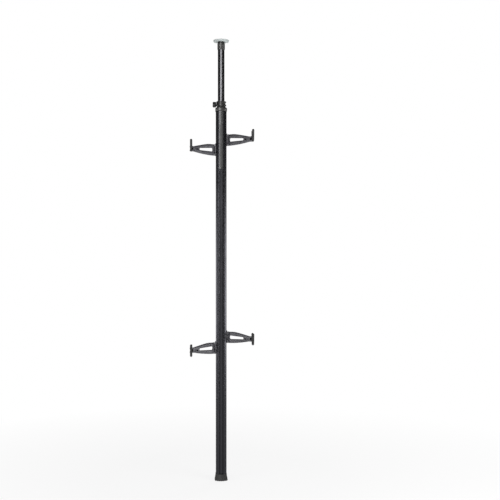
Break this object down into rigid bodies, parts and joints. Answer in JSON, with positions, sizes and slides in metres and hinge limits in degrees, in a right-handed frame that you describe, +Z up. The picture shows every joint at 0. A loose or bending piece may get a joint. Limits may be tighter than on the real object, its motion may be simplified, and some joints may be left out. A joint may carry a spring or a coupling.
{
  "type": "two tier bike rack",
  "caption": "Floor-to-ceiling tension pole with a telescoping tube, a screw-jack ceiling pad and swinging windowed arms that end in upright rubber-covered cradles for bicycles.",
  "frame": {"origin": "middle of the foot's sole, on the pole's axis, where the rack stands on the floor", "axes": "+Z up along the pole, -Y is the front where the cradles reach out, +X to the right seen from the front"},
  "size_m": [0.3208, 0.2288, 2.253],
  "materials": {
    "anodised_black": "black anodised, satin gloss",
    "moulded_grey_black": "moulded glass-filled nylon, satin",
    "black_plastic": "moulded, satin black",
    "black_rubber": "matt black",
    "pale_rubber": "pale grey, translucent look",
    "zinc_steel": "zinc plated",
    "black_steel": "black oxide steel"
  },
  "bodies": {
    "root": {"lower_pole": "anodised_black", "floor_foot": "black_rubber", "cover_strip": "black_plastic", "pole_collar": "moulded_grey_black", "collar_screw": "black_steel"},
    "clamp_pad": {"clamp_pad": "black_plastic"},
    "clamp_knob": {"clamp_knob": "black_plastic", "clamp_screw": "zinc_steel"},
    "upper_tube": {"upper_tube": "anodised_black", "tube_guide_plug": "black_plastic", "tube_top_bush": "black_plastic"},
    "adjuster": {"adjuster_collar": "moulded_grey_black"},
    "jack": {"jack_stem": "zinc_steel", "pad_holder": "black_plastic", "ceiling_pad": "pale_rubber"},
    "upper_right_bracket": {"upper_right_bracket": "moulded_grey_black", "upper_right_shoe": "zinc_steel", "upper_right_shoe_screw_1": "black_steel", "upper_right_shoe_screw_2": "black_steel", "upper_right_arm_pin": "black_steel"},
    "upper_right_arm": {"upper_right_arm": "moulded_grey_black", "upper_right_lock_screw": "black_steel", "upper_right_hook_pin": "black_steel"},
    "upper_right_hook": {"upper_right_hook_core": "black_steel", "upper_right_hook_sleeve": "black_rubber"},
    "upper_left_bracket": {"upper_left_bracket": "moulded_grey_black", "upper_left_shoe": "zinc_steel", "upper_left_shoe_screw_1": "black_steel", "upper_left_shoe_screw_2": "black_steel", "upper_left_arm_pin": "black_steel"},
    "upper_left_arm": {"upper_left_arm": "moulded_grey_black", "upper_left_lock_screw": "black_steel", "upper_left_hook_pin": "black_steel"},
    "upper_left_hook": {"upper_left_hook_core": "black_steel", "upper_left_hook_sleeve": "black_rubber"},
    "lower_right_bracket": {"lower_right_bracket": "moulded_grey_black", "lower_right_shoe": "zinc_steel", "lower_right_shoe_screw_1": "black_steel", "lower_right_shoe_screw_2": "black_steel", "lower_right_arm_pin": "black_steel"},
    "lower_right_arm": {"lower_right_arm": "moulded_grey_black", "lower_right_lock_screw": "black_steel", "lower_right_hook_pin": "black_steel"},
    "lower_right_hook": {"lower_right_hook_core": "black_steel", "lower_right_hook_sleeve": "black_rubber"},
    "lower_left_bracket": {"lower_left_bracket": "moulded_grey_black", "lower_left_shoe": "zinc_steel", "lower_left_shoe_screw_1": "black_steel", "lower_left_shoe_screw_2": "black_steel", "lower_left_arm_pin": "black_steel"},
    "lower_left_arm": {"lower_left_arm": "moulded_grey_black", "lower_left_lock_screw": "black_steel", "lower_left_hook_pin": "black_steel"},
    "lower_left_hook": {"lower_left_hook_core": "black_steel", "lower_left_hook_sleeve": "black_rubber"}
  },
  "joints": [
    {"name": "clamp_pad_travel", "type": "slide", "parent": "root", "child": "clamp_pad", "axis": [-1, 0, 0], "range_m": [0, 0.0025]},
    {"name": "clamp_knob_turn", "type": "hinge", "parent": "clamp_pad", "child": "clamp_knob", "pos_m": [-0.035, 0, 1.923], "axis": [-1, 0, 0], "range_deg": [0, 721]},
    {"name": "tube_slide", "type": "slide", "parent": "root", "child": "upper_tube", "axis": [0, 0, 1], "range_m": [-0.15, 0.85]},
    {"name": "adjuster_turn", "type": "hinge", "parent": "upper_tube", "child": "adjuster", "pos_m": [0, 0, 2.22], "axis": [0, 0, 1], "range_deg": [0, 1441]},
    {"name": "jack_lift", "type": "slide", "parent": "upper_tube", "child": "jack", "axis": [0, 0, 1], "range_m": [0, 0.016]},
    {"name": "upper_right_height", "type": "slide", "parent": "root", "child": "upper_right_bracket", "axis": [0, 0, 1], "range_m": [-0.5, 0.11]},
    {"name": "upper_right_swing", "type": "hinge", "parent": "upper_right_bracket", "child": "upper_right_arm", "pos_m": [0.0375, -0.007, 1.743], "axis": [0, 0, -1], "range_deg": [-33, 25]},
    {"name": "upper_right_hook_swivel", "type": "hinge", "parent": "upper_right_arm", "child": "upper_right_hook", "pos_m": [0.15282, -0.08189, 1.73875], "axis": [0, 0, -1], "range_deg": [-60, 15]},
    {"name": "upper_left_height", "type": "slide", "parent": "root", "child": "upper_left_bracket", "axis": [0, 0, 1], "range_m": [-0.45, 0.16]},
    {"name": "upper_left_swing", "type": "hinge", "parent": "upper_left_bracket", "child": "upper_left_arm", "pos_m": [-0.0375, -0.007, 1.692], "axis": [0, 0, 1], "range_deg": [-33, 25]},
    {"name": "upper_left_hook_swivel", "type": "hinge", "parent": "upper_left_arm", "child": "upper_left_hook", "pos_m": [-0.15282, -0.08189, 1.68775], "axis": [0, 0, 1], "range_deg": [-60, 15]},
    {"name": "lower_right_height", "type": "slide", "parent": "root", "child": "lower_right_bracket", "axis": [0, 0, 1], "range_m": [-0.45, 0.4]},
    {"name": "lower_right_swing", "type": "hinge", "parent": "lower_right_bracket", "child": "lower_right_arm", "pos_m": [0.0375, -0.007, 0.733], "axis": [0, 0, -1], "range_deg": [-33, 25]},
    {"name": "lower_right_hook_swivel", "type": "hinge", "parent": "lower_right_arm", "child": "lower_right_hook", "pos_m": [0.15282, -0.08189, 0.72875], "axis": [0, 0, -1], "range_deg": [-60, 15]},
    {"name": "lower_left_height", "type": "slide", "parent": "root", "child": "lower_left_bracket", "axis": [0, 0, 1], "range_m": [-0.4, 0.45]},
    {"name": "lower_left_swing", "type": "hinge", "parent": "lower_left_bracket", "child": "lower_left_arm", "pos_m": [-0.0375, -0.007, 0.678], "axis": [0, 0, 1], "range_deg": [-33, 25]},
    {"name": "lower_left_hook_swivel", "type": "hinge", "parent": "lower_left_arm", "child": "lower_left_hook", "pos_m": [-0.15282, -0.08189, 0.67375], "axis": [0, 0, 1], "range_deg": [-60, 15]}
  ],
  "couplings": [
    {"joint": "clamp_knob_turn", "follows": "clamp_pad_travel", "rad_per_m": 5026.5},
    {"joint": "adjuster_turn", "follows": "jack_lift", "rad_per_m": 1570.8}
  ]
}
